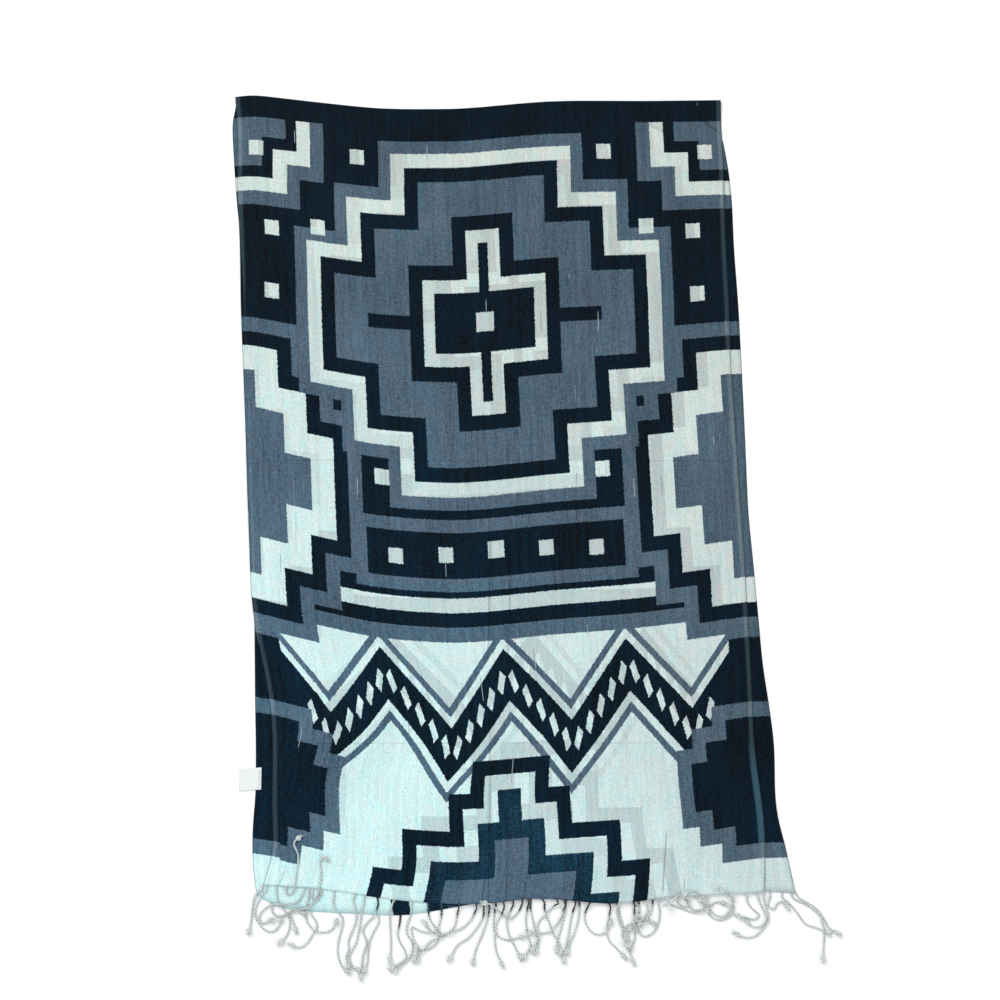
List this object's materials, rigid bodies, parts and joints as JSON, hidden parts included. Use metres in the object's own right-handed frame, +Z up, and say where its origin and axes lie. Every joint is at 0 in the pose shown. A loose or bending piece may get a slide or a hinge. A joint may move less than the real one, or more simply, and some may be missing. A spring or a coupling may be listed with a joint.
{
  "type": "fringed woven stole folded flat",
  "caption": "Light printed woven stole with twisted fringe on both ends, folded once crosswise and laid flat, with a blank side tag.",
  "frame": {"origin": "middle of the footprint, on the surface that the stole lies on", "axes": "+Z up off the surface, +Y from the fringe towards the fold, +X to the right with the fringe towards the viewer"},
  "size_m": [0.7052, 1.0306, 0.0103],
  "materials": {
    "printed_cotton": "matt plain weave, printed in navy, slate and pale grey-green",
    "twisted_cord": "matt two-ply twisted yarn, knotted at the ends",
    "satin_tape": "soft satin weave"
  },
  "bodies": {
    "root": {"leaf_upper": "printed_cotton", "leaf_under": "printed_cotton", "fringe_upper": "twisted_cord", "fringe_under": "twisted_cord", "care_label": "satin_tape"}
  },
  "joints": []
}
